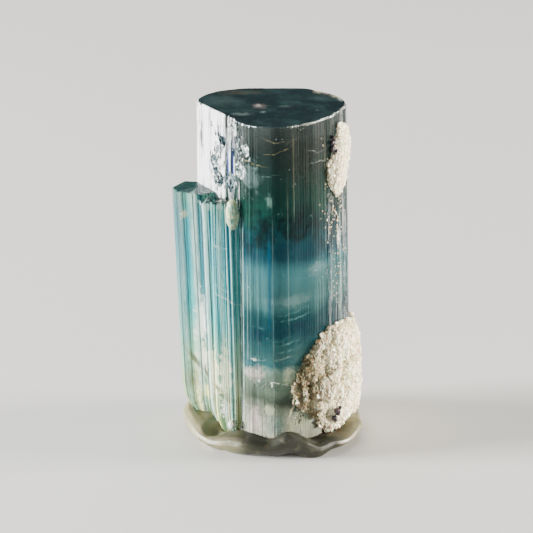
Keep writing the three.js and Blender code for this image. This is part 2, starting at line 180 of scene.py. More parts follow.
TINTS = {
    "honey": (206, 190, 140), "white": (246, 248, 240), "teal": (112, 168, 168), "olive": (86, 88, 46),
    "cream": (250, 248, 206), "mist": (158, 186, 178), "shadow": (54, 62, 54), "rose": (196, 176, 170),
    "straw": (190, 196, 160), "glass": (112, 148, 136), "bronze": (178, 188, 156), "yolk": (255, 246, 150),
    "slate": (92, 134, 126), "ink": (1, 14, 14), "navy": (4, 32, 44), "moss": (20, 62, 48),
    "umber": (24, 24, 20), "haze": (108, 128, 126),
}
ZONES = [  # the main crystal's colours by share of its height
    (0.05, (180, 178, 158)), (0.12, (150, 156, 138)), (0.19, (72, 82, 68)), (0.24, (92, 110, 94)),
    (0.262, (96, 124, 112)), (0.276, (36, 82, 88)), (0.30, (48, 84, 86)), (0.34, (26, 62, 68)),
    (0.385, (9, 44, 52)), (0.43, (18, 58, 62)), (0.475, (64, 104, 104)), (0.57, (50, 96, 102)),
    (0.615, (12, 50, 62)), (0.68, (8, 52, 58)), (0.75, (12, 54, 44)), (0.80, (14, 44, 37)),
    (0.86, (22, 38, 35)), (0.93, (33, 37, 35)), (1.0, (52, 58, 56)),
]
SIDE_ZONES = [  # the side crystals'
    (0.10, (250, 244, 156)), (0.18, (242, 244, 182)), (0.28, (176, 222, 182)), (0.40, (76, 188, 184)),
    (0.58, (42, 146, 158)), (0.70, (50, 132, 134)), (0.76, (84, 140, 116)),
]
HACKLE = [  # facets of the broken ground, from dark to light
    (0.32, (18, 32, 40)), (0.5, (74, 92, 98)), (0.66, (146, 160, 160)), (0.8, (240, 243, 242)),
]

# kinds of face, stored on the mesh
MAIN, SIDE, LENS_FACE, BROKEN, MAIN_TOP, SIDE_TOP = range(6)

rng = np.random.default_rng(7)


def by_direction(table, degrees):
    return np.interp(degrees, [t[0] for t in table], [t[1] for t in table], period=360)


def turned(degrees, middle):
    """Signed turn from a middle direction, from -180 to 180."""
    return (np.asarray(degrees) - middle + 180) % 360 - 180


# ---- the outline of the crystals ----
def face_radius(faces, degrees):
    """Distance from the axis to the outline that the faces cut out."""
    reach = np.full(np.shape(degrees), np.inf)
    for direction, distance in faces:
        cosine = np.cos(np.radians(degrees - direction))
        reach = np.where(cosine > 0.1, np.minimum(reach, distance / np.maximum(cosine, 0.1)), reach)
    return reach


def rounded(radius, columns):
    """The outline with its corners worn off over that many columns each way."""
    weights = np.hanning(2 * columns + 3)[1:-1]
    turns = range(-columns, columns + 1)
    return sum(w * np.roll(radius, t) for w, t in zip(weights, turns)) / weights.sum()


def main_scale(z):
    return 1 + FLARE * (1 - z / HEIGHT)


def on_main(degrees, outside, z):
    """Points at a direction, a distance outside the main outline and a height."""
    degrees, outside, z = np.broadcast_arrays(np.asarray(degrees, float), outside, z)
    r = face_radius(MAIN_FACES, degrees) * main_scale(z) + outside
    angles = np.radians(degrees)
    shift = MAIN_LEAN * (1 - z / HEIGHT)
    return np.stack([shift + r * np.cos(angles), r * np.sin(angles), z], axis=-1)


def fractal(points, scale, octaves=3):
    """Fractal noise from about -1 to 1 at an array of points."""
    flat = np.asarray(points, float).reshape(-1, 3) * scale
    values = [noise.fractal(Vector(p), 1.0, 2.0, octaves) for p in flat]
    return np.array(values).reshape(np.shape(points)[:-1])


def ridges(columns, perimeter, heights, widths=RIDGE_WIDTHS):
    """Groove depth and a tone of its own for each ridge round an outline, uneven in width."""
    depth, tone = np.zeros(columns), np.zeros(columns)
    arc = np.arange(columns) * perimeter / columns
    position = 0.0
    while position < perimeter:
        width = widths[0] + (widths[1] - widths[0]) * rng.random() ** 2.4
        sunk = rng.random() ** 1.3
        inside = (arc >= position) & (arc < position + width)
        across = 2 * (arc[inside] - position) / width - 1
        depth[inside] = heights[inside] * (0.75 * sunk + 0.25 * across**2)
        tone[inside] = 0.6 * rng.random() + 0.4 * (1 - sunk)
        position += width
    return depth, tone


# ---- meshes ----
def in_scene(name, data):
    """A new object in the scene, of a mesh, a light or a camera."""
    made = bpy.data.objects.new(name, data)
    bpy.context.scene.collection.objects.link(made)
    return made


def new_object(name, points, faces):
    """A mesh object from points in millimetres."""
    mesh = bpy.data.meshes.new(name)
    mesh.from_pydata((np.asarray(points) * MM).tolist(), [], faces)
    mesh.update()
    return in_scene(name, mesh)


def dress(piece, surface):
    """Gives a piece that material alone."""
    piece.data.materials.clear()
    piece.data.materials.append(surface)


def loft_faces(rows, columns):
    """Quads between rings, then a fan at the foot and one at the tip, all facing out."""
    here = np.arange(columns)
    after = np.roll(here, -1)
    low = (np.arange(rows - 1) * columns)[:, None]
    quads = np.stack([low + here, low + after, low + columns + after, low + columns + here], axis=-1)
    last, foot, tip = (rows - 1) * columns, rows * columns, rows * columns + 1
    fans = [[foot, b, a] for a, b in zip(here.tolist(), after.tolist())]
    fans += [[tip, last + a, last + b] for a, b in zip(here.tolist(), after.tolist())]
    return quads.reshape(-1, 4).tolist() + fans


def tag(made, kinds, grown, marks):
    """Stores the kind of each face, and at its corners the place in the straight outline and the marks."""
    mesh = made.data
    loops = np.zeros(len(mesh.loops), dtype=np.int64)
    mesh.loops.foreach_get("vertex_index", loops)
    kinds = np.broadcast_to(np.asarray(kinds, float), len(mesh.polygons))
    mesh.attributes.new("kind", "FLOAT", "FACE").data.foreach_set("value", kinds.copy())
    for name, values in (("grown", grown), ("marks", marks)):
        values = np.broadcast_to(values, (len(mesh.vertices), 3))
        mesh.attributes.new(name, "FLOAT_VECTOR", "CORNER").data.foreach_set("vector", values[loops].ravel())


def combine(target, other, operation):
    """Joins other to target or cuts it away, and removes other."""
    modifier = target.modifiers.new(operation, "BOOLEAN")
    modifier.operation = operation
    modifier.object = other
    modifier.solver = "MANIFOLD"
    graph = bpy.context.evaluated_depsgraph_get()
    result = bpy.data.meshes.new_from_object(target.evaluated_get(graph))
    target.modifiers.clear()
    target.data = result
    bpy.data.objects.remove(other)


def prism(name, kind, top_kind, smooth, depth, levels, axis, marks, cap_rings, top_at):
    """A striated crystal with a flat or broken end.

    smooth: outline radius of each column; depth: of the grooves, for each level and column;
    levels: (height, scale); axis(z): its place; marks: for each level and column;
    cap_rings: rings across the end; top_at(rings): how far their points are raised."""
    columns = len(smooth)
    angles = np.arange(columns) / columns * 2 * math.pi
    circle = np.column_stack([np.cos(angles), np.sin(angles)])
    z, scale = np.array(levels).T
    outline = circle * (smooth - depth)[..., None]
    middle = np.array([axis(height) for height in z])
    flat = middle[:, None] + outline * scale[:, None, None]
    shares = np.linspace(1, 0.04, cap_rings + 1)[1:, None, None]
    cap = middle[-1] + outline[-1] * scale[-1] * shares
    cap_grown = outline[-1] * shares
    heights = np.concatenate([z, np.full(cap_rings, z[-1])])
    tall = np.broadcast_to(heights[:, None, None], (len(heights), columns, 1))
    rings = np.concatenate([np.concatenate([flat, cap]), tall], axis=-1)
    grown = np.concatenate([np.concatenate([outline, cap_grown]), tall], axis=-1)
    first = len(levels) - 1
    rings[first:, :, 2] += top_at(rings[first:])
    top = rings[-1].mean(axis=0)
    points = np.concatenate([rings.reshape(-1, 3), [[*middle[0], z[0]], top]])
    made = new_object(name, points, loft_faces(len(rings), columns))
    kinds = np.full(len(made.data.polygons), float(kind))
    kinds[first * columns:-2 * columns] = top_kind
    kinds[-columns:] = top_kind
    marks = np.concatenate([marks, np.repeat(marks[-1:], cap_rings, axis=0)])
    places = np.concatenate([grown.reshape(-1, 3), [[0, 0, z[0]], [0, 0, z[-1]]]])
    tag(made, kinds, places, np.concatenate([marks.reshape(-1, 3), np.zeros((2, 3))]))
    return made


# ---- the tourmaline ----
def soft_box(distance, half):
    """1 inside half, falling smoothly to 0 at FADE times it."""
    share = np.clip((FADE - np.abs(distance) / half) / (FADE - 1), 0, 1)
    return share * share * (3 - 2 * share)


def main_marks(degrees, z, tone):
    """For each level and column: the ridge's tone, how pale the skin is, and light or dark lines."""
    around, up = np.meshgrid(degrees, z)
    pale, line = np.zeros(around.shape), np.zeros(around.shape)
    for direction, half, height, half_height, strength in PALE_AREAS:
        area = soft_box(turned(around, direction), half) * soft_box(up - height, half_height)
        pale = np.maximum(pale, strength * area)
    for direction, half, low, high, strength in LINES:
        across = np.exp(-(turned(around, direction) / half) ** 2)
        line += strength * across * soft_box(up - (low + high) / 2, (high - low) / (2 * FADE))
    return np.stack([np.broadcast_to(tone, around.shape), pale, line], axis=-1)


def main_crystal(grow):
    """The main prism; with grow, a plain one that much bigger, to cut room with."""
    degrees = np.arange(MAIN_COLUMNS) / MAIN_COLUMNS * 360
    smooth = rounded(face_radius(MAIN_FACES, degrees), WORN_CORNER) - SKIN + grow
    z = np.concatenate([[MAIN_FOOT, MAIN_FOOT + 0.5], np.linspace(MAIN_FOOT + 1.2, HEIGHT - 0.2, 24),
                        [HEIGHT - 0.06, HEIGHT]])
    depth, tone = np.zeros(MAIN_COLUMNS), np.zeros(MAIN_COLUMNS)
    if not grow:
        depth, tone = ridges(MAIN_COLUMNS, 2 * math.pi * smooth.mean(), by_direction(RELIEF, degrees))
    # Ridges fade in and out along their length, slowly.
    circle = np.radians(degrees)
    places = np.stack([np.broadcast_to(v, (len(z), MAIN_COLUMNS)) for v in
                       (np.cos(circle) * 9, np.sin(circle) * 9, z[:, None] * 0.12)], axis=-1)
    depth = depth * (0.8 + 0.45 * fractal(places, 1.0, 2)).clip(0, 1)
    scales = main_scale(z)
    scales[:2] *= (0.94, 0.985)
    scales[-2:] *= (0.994, 0.982)
    return prism("tourmaline", MAIN, MAIN_TOP, smooth, depth, list(zip(z, scales)),
                 lambda height: (MAIN_LEAN * (1 - height / HEIGHT), 0), main_marks(degrees, z, tone), 4,
                 lambda cap: np.zeros(cap.shape[:2]))


def side_crystal(index, side, grow):
    """A side crystal with a broken end; grow as for the main one."""
    degrees = np.arange(SIDE_COLUMNS) / SIDE_COLUMNS * 360
    smooth = side["radius"] * face_radius(SIDE_FACES, degrees) + grow
    depth, tone = np.zeros(SIDE_COLUMNS), np.zeros(SIDE_COLUMNS)
    if not grow:
        depth, tone = ridges(SIDE_COLUMNS, 2 * math.pi * smooth.mean(), np.full(SIDE_COLUMNS, SIDE_RIDGE),
                             side["ridge"])
        for _ in range(side["soften"]):
            tone = (np.roll(tone, 1) + tone + np.roll(tone, -1)) / 3
    foot, rough = side["foot"], side["rough"]
    shoulder = side["top"] - rough - 0.1
    z = np.concatenate([np.linspace(foot, shoulder, 18), [shoulder + 0.06, shoulder + 0.1]])
    scales = np.interp(z, [foot + above for above, _ in SIDE_LEVELS] + [shoulder],
                       [scale for _, scale in SIDE_LEVELS] + [1.0])
    scales[-2:] *= (0.985, 0.94)
    marks = np.zeros((len(z), SIDE_COLUMNS, 3))
    marks[..., 0] = tone
    marks[..., 1] = side["soften"] > STRIPED  # the smooth crystal shows few fibres
    for direction, half, strength in SIDE_LINES[index]:
        marks[..., 2] += strength * np.exp(-(turned(degrees, direction) / half) ** 2)

    def axis(height):
        return side["x"] + side["lean"] * (height - side["top"]), side["y"]

    def broken(cap):
        steps = fractal(cap + 31 * index, 1.3, 4)
        return rough * np.round(3 * steps) / 3 + 0.4 * rough * fractal(cap, 4.0, 2)

    return prism(f"side_{index}", SIDE, SIDE_TOP, smooth, np.broadcast_to(depth, (len(z), SIDE_COLUMNS)),
                 list(zip(z, scales)), axis, marks, 12, broken)


def lump(name, centre, half, kind, roughness, detail, grain=1.6):
    """A closed faceted lump."""
    mesh = bmesh.new()
    bmesh.ops.create_icosphere(mesh, subdivisions=detail, radius=1)
    points = np.array([v.co[:] for v in mesh.verts])
    faces = [[v.index for v in f.verts] for f in mesh.faces]
    mesh.free()
    cells = np.array([noise.voronoi(Vector(p))[0][0] for p in points * grain + np.asarray(centre)])
    placed = points * (1 - roughness * cells[:, None]) * np.asarray(half) + np.asarray(centre)
    made = new_object(name, placed, faces)
    tag(made, kind, placed, (rng.random(), 0.7, 0.0))
    return made


def bite(direction, z, radius, depth, detail=4, tall=1.0, roughness=0.22, grain=1.6):
    """A lump that takes that depth out of the main crystal's skin."""
    centre = on_main(direction, radius - depth, z)
    return lump("bite", centre, (radius, radius, radius * tall), BROKEN, roughness, detail, grain)


def chips():
    """Small angular bites, joined: nicks along the rim of the top, and the hackly ground below it."""
    pieces = []
    for direction in np.sort(rng.random(RIM_NICKS)) * 360:
        radius = 0.1 + 0.28 * rng.random() ** 2
        pieces.append(bite(direction, HEIGHT + 0.1 * radius, radius, radius * 0.5, 1))
    for direction, half, height, half_height, number in ETCHED:
        for _ in range(number):
            radius = CHIP_RADII[0] + (CHIP_RADII[1] - CHIP_RADII[0]) * rng.random() ** 2
            across, up = rng.normal(0, 0.5, 2)
            pieces.append(bite(direction + half * across, height + half_height * up, radius,
                               radius * (0.35 + 0.5 * rng.random()), 1, 1 + 2 * rng.random(), 0.6, 3.3))
    while len(pieces) > 1:
        for even, odd in zip(pieces[::2], pieces[1::2]):
            combine(even, odd, "UNION")
        pieces = pieces[::2]
    return pieces[0]


def crystals(grow=0.0):
    """The main crystal and the side ones, grown together."""
    body = main_crystal(grow)
    for index, side in enumerate(SIDE_CRYSTALS):
        combine(body, side_crystal(index, side, grow), "UNION")
    return body


def tourmaline():
    body = crystals()
    for shape in (LENS, BEAD):
        combine(body, lump("lens", shape["centre"], shape["half"], LENS_FACE, 0.12, 4, 2.5), "UNION")
    for direction, z, radius, depth in HOLLOWS:
        combine(body, bite(direction, z, radius, depth), "DIFFERENCE")
    for direction, radius in RIM_CHIPS:
        chip = bite(direction, HEIGHT + radius * CHIP_RISE, radius, radius * CHIP_DEPTH, 3)
        combine(body, chip, "DIFFERENCE")
    combine(body, chips(), "DIFFERENCE")
    return body


# ---- node trees ----
def linear(*colour):
    """A colour from 0 to 255 as Blender's linear one."""
    return tuple(c / 12.92 / 255 if c <= 10 else ((c / 255 + 0.055) / 1.055) ** 2.4 for c in colour)


class Wire:
    """A node's output, on which sums are written as sums."""

    def __init__(self, nodes, socket):
        self.nodes, self.socket = nodes, socket

    def __add__(self, other):
        return self.nodes.math("ADD", self, other)

    def __sub__(self, other):
        return self.nodes.math("SUBTRACT", self, other)

    def __mul__(self, other):
        return self.nodes.math("MULTIPLY", self, other)

    def __truediv__(self, other):
        return self.nodes.math("DIVIDE", self, other)

    def __abs__(self):
        return self.nodes.math("ABSOLUTE", self)


class Nodes:
    """A node tree being built. Inputs are given by name or number, as wires or plain values."""

    def __init__(self, tree):
        self.tree = tree

    def feed(self, socket, value):
        if isinstance(value, Wire):
            self.tree.links.new(value.socket, socket)
        elif socket.type == "RGBA":
            socket.default_value = (*value, 1)
        else:
            socket.default_value = value

    def fill(self, node, inputs):
        for key, value in inputs.items():
            self.feed(node.inputs[key], value)

    def add(self, kind, **settings):
        made = self.tree.nodes.new(kind)
        for key, value in settings.items():
            setattr(made, key, value)
        return made

    def wire(self, kind, inputs, output=0, **settings):
        """The output of a new node."""
        made = self.add(kind, **settings)
        self.fill(made, inputs)
        return Wire(self, made.outputs[output])

    def gather(self, kind, *parts):
        """A new node with several wires in its one input."""
        made = self.add(kind)
        for part in parts:
            self.feed(made.inputs[0], part)
        return Wire(self, made.outputs[0])

    def takes(self, sockets):
        """Gives the tree its inputs, named with their kinds, and returns their wires by name."""
        for name, kind in sockets.items():
            self.tree.interface.new_socket(name, in_out="INPUT", socket_type="NodeSocket" + kind)
        given = self.add("NodeGroupInput")
        return {name: Wire(self, given.outputs[name]) for name in sockets}

    def gives(self, name, kind, value):
        """Gives the tree its one output."""
        self.tree.interface.new_socket(name, in_out="OUTPUT", socket_type="NodeSocket" + kind)
        self.feed(self.add("NodeGroupOutput").inputs[0], value)

    def math(self, operation, a, b=0.0):
        return self.wire("ShaderNodeMath", {0: a, 1: b}, operation=operation)


class Shading(Nodes):
    """The same, for a material. Each method adds one node."""

    def place(self):
        return self.wire("ShaderNodeTexCoord", {}, "Object")

    def attribute(self, name, output="Fac"):
        return self.wire("ShaderNodeAttribute", {}, output, attribute_name=name)

    def parts(self, vector):
        """The x, y and z of a vector."""
        made = self.add("ShaderNodeSeparateXYZ")
        self.fill(made, {0: vector})
        return [Wire(self, socket) for socket in made.outputs]

    def group(self, tree, **inputs):
        """One of the shared groups, with its inputs given by name."""
        return self.wire("ShaderNodeGroup", inputs, node_tree=tree)

    def mix(self, share, a, b, blend="MIX"):
        return self.wire("ShaderNodeMix", {0: share, 6: a, 7: b}, 2, data_type="RGBA", blend_type=blend)

    def ramp(self, value, stops):
        """Colours (0 to 255) by position along value."""
        made = self.add("ShaderNodeValToRGB")
        elements = made.color_ramp.elements
        while len(elements) < len(stops):
            elements.new(0.5)
        for element, (position, colour) in zip(elements, stops):
            element.position = position
            element.color = (*linear(*colour), 1)
        self.fill(made, {0: value})
        return Wire(self, made.outputs[0])

    def window(self, value, low, high, start=0.0, end=1.0):
        """Turns low..high into start..end, held outside it."""
        inputs = dict(enumerate((value, low, high, start, end)))
        return self.wire("ShaderNodeMapRange", inputs, clamp=True)

    def stretched(self, vector, scale):
        return self.wire("ShaderNodeMapping", {"Vector": vector, "Scale": scale})

    def noise(self, vector, scale, detail=3.0, roughness=0.5, distortion=0.0):
        return self.wire("ShaderNodeTexNoise", {
            "Vector": vector, "Scale": scale, "Detail": detail, "Roughness": roughness,
            "Distortion": distortion}, "Fac")

    def cells(self, vector, scale):
        return self.wire("ShaderNodeTexVoronoi", {"Vector": vector, "Scale": scale}, "Distance")

    def is_kind(self, kinds, kind):
        return self.wire("ShaderNodeMath", {0: kinds, 1: float(kind), 2: 0.5}, operation="COMPARE")

    def bump(self, height, distance, strength, under=None):
        inputs = {"Strength": strength, "Distance": distance, "Height": height}
        if under:
            inputs["Normal"] = under
        return self.wire("ShaderNodeBump", inputs)


def material(name):
    """A new material, its nodes, its one shader and its output."""
    made = bpy.data.materials.new(name)
    made.use_nodes = True
    tree = made.node_tree
    tree.nodes.clear()
    shader = tree.nodes.new("ShaderNodeBsdfPrincipled")
    output = tree.nodes.new("ShaderNodeOutputMaterial")
    tree.links.new(shader.outputs[0], output.inputs["Surface"])
    return made, Shading(tree), shader, output


# ---- marks shared by the materials ----
def mark_group(name, sockets, build):
    """A shader node group that puts out one mask; build gives it from the group's inputs."""
    s = Shading(bpy.data.node_groups.new(name, "ShaderNodeTree"))
    s.gives("Mask", "Float", build(s, s.takes({"Place": "Vector", **sockets})))
    return s.tree


def crack_mask(s, given):
    """A thin broken line over the front of the skin, where a curved sheet cuts it, in millimetres."""
    x, y, z = s.parts(given["Place"])
    along = x - given["Middle"]
    level = along * given["Slope"] + along * along * given["Bow"] + given["Height"]
    away = abs(z - level - given["Wander"])
    line = s.window(away / given["Thickness"], 0.4, 1.2, 1.0, 0.0)
    ends = s.window(abs(along) / given["Half"], 0.3, 1.0, 1.0, 0.0)
    return line * ends * given["Gaps"] * s.math("LESS_THAN", y, 0.0)


def blotch_mask(s, given):
    """A ragged spot of which Reach is twice the half size, in millimetres."""
    inside = s.wire("ShaderNodeMapping", {
        "Vector": given["Place"], "Location": given["Centre"], "Scale": given["Reach"]},
        vector_type="TEXTURE")
    ball = s.wire("ShaderNodeTexGradient", {0: inside}, "Fac", gradient_type="SPHERICAL")
    return s.window(ball * 2.0 + given["Ragged"], 1.0, 1.6)


def speckle_mask(s, given):
    """Spots of fine grain: 0 between them, rising to Strength."""
    grain = s.noise(given["Place"], given["Scale"], 3.0, 0.6)
    return s.window(grain, given["Least"], given["Most"], 0.0, given["Strength"])


def numbers(*names):
    """Inputs of a group that are plain numbers."""
    return {name: "Float" for name in names}


# ---- finish of the tourmaline ----
class Skin:
    """What the finish of the tourmaline is worked out from."""

    def __init__(self, s):
        self.place = s.place()
        self.x, _, self.z = s.parts(self.place)
        grown = s.attribute("grown", "Vector")
        self.kinds = s.attribute("kind")
        self.tone, self.pale, self.line = s.parts(s.attribute("marks", "Vector"))
        self.streaks = s.noise(s.stretched(grown, (3.5, 3.5, 0.045)), 1.0, 5.0, 0.7)
        self.fine = s.noise(s.stretched(grown, (9.0, 9.0, 0.12)), 1.0, 3.0, 0.6)
        self.waves = s.noise(self.place, 260.0, 3.0, 0.55)
        shift = (self.waves - 0.5) * 0.0028 + (self.streaks - 0.5) * 0.0022
        self.level = (self.z + shift) / (HEIGHT * MM)
        self.main = s.math("LESS_THAN", self.kinds, SIDE - 0.5)
        self.broken, self.top = s.is_kind(self.kinds, BROKEN), s.is_kind(self.kinds, MAIN_TOP)
        self.breaks = s.noise(s.stretched(grown, (1.6, 1.6, 0.3)), 1.0, 4.0, 0.75)
        comb = self.streaks + self.tone * 0.12 + self.breaks * 0.8
        # Frosted skin, partly painted highlight on the lit left face and right edge.
        self.frost_and_highlight = self.pale * s.window(comb + self.pale * 0.3, 1.1, 1.26) * self.main


def zone_colours(s, skin):
    """Colour zones across the length, with wavy, streaky borders, mottled in the green."""
    zones = s.ramp(skin.level, ZONES)
    mottle = s.window(s.noise(skin.place, 760.0, 5.0, 0.65), 0.42, 0.58)
    in_green = s.window(abs(skin.level - 0.70), 0.04, 0.10, 1.0, 0.0)
    zones = s.mix(mottle * in_green * 0.92, zones, linear(1, 12, 14))
    bands = s.noise(s.stretched(skin.place, (90.0, 90.0, 1400.0)), 1.0, 3.0, 0.6)
    return s.mix(s.window(bands, 0.35, 0.7, 0.0, 0.35), zones, linear(120, 150, 156), "MULTIPLY")


def side_colours(s, skin):
    """The side crystals' zones, striped lengthwise, with light fibres."""
    sides = s.ramp(skin.level, SIDE_ZONES)
    dark = s.mix(0.9, sides, linear(46, 112, 126), "MULTIPLY")
    sides = s.mix(s.window(skin.tone, 0.3, 0.7), dark, sides)
    fibres = s.window(skin.streaks, 0.48, 0.66) * s.window(skin.pale, 0.0, 1.0, 0.7, 0.25)
    return s.mix(fibres, sides, linear(180, 246, 236))


def colours_by_kind(s, skin):
    """Each kind of face in its own colours."""
    facets = skin.tone + s.window(s.noise(skin.place, 2600.0, 1.0), 0.3, 0.7)
    hackle = s.ramp(facets * 0.5, HACKLE)
    clouds = s.window(s.noise(skin.place, 1900.0, 5.0, 0.75), 0.4, 0.6)
    veils = s.window(s.noise(skin.place, 420.0, 5.0, 0.65), 0.45, 0.72, 0.0, 0.5)
    colour = zone_colours(s, skin)
    for kind, finish in (
        (SIDE, side_colours(s, skin)),
        (LENS_FACE, s.mix(clouds, linear(214, 216, 166), linear(112, 164, 146))),
        (BROKEN, s.mix(s.window(skin.level, 0.3, 0.4), linear(150, 152, 132), hackle)),
        (MAIN_TOP, s.mix(veils, linear(3, 45, 50), linear(78, 120, 118))),
        (SIDE_TOP, s.mix(s.window(skin.waves, 0.4, 0.6), linear(4, 34, 40), linear(40, 82, 78))),
    ):
        colour = s.mix(s.is_kind(skin.kinds, kind), colour, finish)
    return colour


def with_marks(s, skin, colour):
    """Fractures, blotches and bright specks that show through the skin.

    The noises that roughen the marks are made once for all of them."""
    crack = mark_group("crack_line", numbers("Wander", "Gaps", "Middle", "Half", "Height", "Slope", "Bow",
                                             "Thickness"), crack_mask)
    blotch = mark_group("blotch", {"Ragged": "Float", "Centre": "Vector", "Reach": "Vector"}, blotch_mask)
    place = s.wire("ShaderNodeVectorMath", {0: skin.place, "Scale": 1 / MM}, operation="SCALE")
    wander = (s.noise(skin.place, 900.0, 3.0, 0.6) - 0.5) * 0.9
    gaps = s.window(s.noise(skin.place, 3100.0, 4.0, 0.75), 0.42, 0.6)
    for on, cracks in ((skin.main, MAIN_CRACKS), (s.is_kind(skin.kinds, SIDE), SIDE_CRACKS)):
        for middle, half, height, slope, bow, thickness, strength, tint in cracks:
            mask = s.group(crack, Place=place, Wander=wander, Gaps=1.0 if thickness > WIDE_CRACK else gaps,
                           Middle=middle, Half=half, Height=height, Slope=slope, Bow=bow, Thickness=thickness)
            colour = s.mix(mask * on * strength, colour, linear(*TINTS[tint]))
    coarse, small = ((s.noise(skin.place, scale, 6.0, 0.75) - 0.5) * 3.4 for scale in (1100.0, 3600.0))
    for centre, half, strength, tint in BLOTCHES:
        mask = s.group(blotch, Place=place, Ragged=small if min(half[:2]) < SMALL_BLOTCH else coarse,
                       Centre=centre, Reach=tuple(2 * h for h in half))
        colour = s.mix(mask * strength, colour, linear(*TINTS[tint]))
    specks = s.window(s.cells(skin.place, 2100.0), 0.05, 0.12, 1.0, 0.0) * skin.main
    specks = specks * s.window(s.noise(skin.place, 330.0, 2.0), 0.55, 0.62) * s.window(skin.level, 0.3, 0.45)
    return s.mix(specks, colour, linear(240, 246, 240))


def with_lustre(s, skin, colour):
    """Frosted skin partly painted as highlight, painted sheen on the ridges, the light rim of the top, and
    light lines (partly painted highlight) and deep lines along the ridges.
    """
    colour = s.mix(skin.frost_and_highlight, colour, linear(244, 246, 248))
    # Painted sheen: ridges lighter, less so in the dark green zone and near the foot.
    ridge = s.window(skin.tone, 0.5, 1.0) * s.window(skin.fine, 0.42, 0.6)
    calm = s.window(abs(skin.level - 0.78), 0.12, 0.24, 0.12, 0.5) * s.window(skin.level, 0.2, 0.3, 0.3, 1.0)
    colour = s.mix(ridge * calm, colour, linear(48, 72, 70), "SCREEN")
    rim = s.window(s.noise(skin.place, 1500.0, 3.0, 0.7), 0.4, 0.55) * skin.main
    rim = rim * s.window(skin.z, (HEIGHT - 0.22) * MM, (HEIGHT - 0.1) * MM)
    colour = s.mix(rim * s.window(skin.x, 1 * MM, 5 * MM, 0.0, 0.9), colour, linear(230, 232, 220))
    # Light lines along the ridges are partly painted highlight; golden high up where the skin isn't pale.
    warm = s.window(skin.level, 0.72, 0.82) * s.window(skin.pale, 0.2, 0.4, 1.0, 0.0)
    bright = s.mix(warm, linear(206, 240, 230), linear(196, 182, 140))
    light = s.math("MAXIMUM", skin.line, 0.0) * s.window(skin.breaks, 0.38, 0.56, 0.35, 1.0)
    colour = s.mix(light, colour, bright)
    violet = s.window(skin.level, 0.77, 0.81) * skin.main
    deep = s.mix(violet, linear(6, 52, 72), linear(34, 44, 150))
    return s.mix(s.math("MAXIMUM", skin.line * -1.0, 0.0), colour, deep)


def tourmaline_material():
    made, s, shader, output = material("tourmaline")
    skin = Skin(s)
    colour = with_lustre(s, skin, with_marks(s, skin, colours_by_kind(s, skin)))
    rough = skin.frost_and_highlight * 0.35 + s.window(skin.fine, 0.3, 0.7, 0.05, 0.2) + skin.broken * 0.12
    lumpy = s.noise(skin.place, 620.0, 4.0, 0.55) * s.window(skin.level, 0.14, 0.24, 1.0, 0.0)
    lumpy = lumpy + s.cells(skin.place, 3200.0) * skin.broken
    s.fill(shader, {
        "Base Color": colour,
        "Roughness": rough * s.window(skin.top, 0.0, 1.0, 1.0, 0.3),
        "Normal": s.bump(skin.streaks + skin.fine * 0.6, 0.00007, s.window(skin.top, 0.0, 1.0, 0.5, 0.04),
                         s.bump(lumpy, 0.0005, 0.7)),
        "IOR": 1.63,
        "Specular IOR Level": 0.15,
        "Specular Tint": (0.08, 0.13, 0.13),
        "Transmission Weight": 0.6,
    })
    absorption = s.wire("ShaderNodeVolumeAbsorption", {"Color": (0.5, 0.8, 0.84), "Density": 40.0})
    s.fill(output, {"Volume": absorption})
    return made


# ---- the albite ----
CRUST_BASE = 0.12  # thickness of a crust at its border
# thickness: added in the middle, at the front border and at the back one; lumps: how fine and how high;
# edge: height, and the directions of the front and back borders there.
LOWER_CRUST = {
    "thickness": (1.2, 0.35), "columns": 120, "rows": 110, "lumps": (0.85, 0.6), "seed": 11,
    "edge": [(1.9, -40, 50), (2.8, -46, 54), (4.1, -55, 56), (6.0, -73, 58), (7.2, -75.5, 57),
             (8.7, -71, 54), (10.2, -62, 48), (11.7, -52, 26), (12.8, -37, -26)],
}
UPPER_CRUST = {
    "thickness": (0.55, 0.2), "columns": 70, "rows": 80, "lumps": (1.3, 0.25), "seed": 23,
    "edge": [(26.6, -21, -12), (27.3, -27, -5), (28.3, -32, 0), (30.2, -32, 8), (31.0, -26, 8),
             (32.0, -21, 6), (32.9, -19, 3), (33.7, -13, -6)],
}
LOWER_GRAINS = [  # direction, height, radius
    (-37.5, 4.3, 0.42), (-35.2, 3.9, 0.38), (-36.4, 3.35, 0.45), (-34.0, 4.5, 0.28), (-34.6, 3.1, 0.28),
]
UPPER_GRAINS = [
    (-25.5, 32.75, 0.3), (-27.4, 32.3, 0.34), (-25.0, 31.95, 0.3), (-27.2, 31.6, 0.36), (-24.8, 31.4, 0.26),
    (-26.4, 31.2, 0.22),
]
SEAT_RAYS = [(0, 0), (2, 0), (-2, 0), (0, 0.2), (0, -0.2)]  # steps in direction and height round a grain
SEAT_SPAN = (4.0, -1.0)  # a ray's start and end, outside the main outline
DUST = [  # crumbs stuck to the skin, as areas: direction, half width, height, half height, cover
    (332, 9, 25.0, 3.0, 0.8), (340, 9, 19.0, 5.0, 0.25), (348, 8, 24.0, 4.0, 0.5), (325, 9, 31.5, 2.5, 0.06),
]
DUST_SPANS = ((280, 362, 0.8), (5, 34.6, 0.25))  # directions and heights of its ground: from, to, step


def sheet(rows, columns):
    """Quads of a grid of points, wound to face outwards when columns run anticlockwise and rows up."""
    index = np.arange(rows * columns).reshape(rows, columns)
    corners = [index[:-1, :-1], index[:-1, 1:], index[1:, 1:], index[1:, :-1]]
    return index, np.stack(corners, -1).reshape(-1, 4)


def cover_ground(made, cover):
    """Stores how thickly each point of the ground is covered with grains."""
    attribute = made.data.attributes.new("cover", "FLOAT", "POINT")
    attribute.data.foreach_set("value", np.asarray(cover, float).ravel())


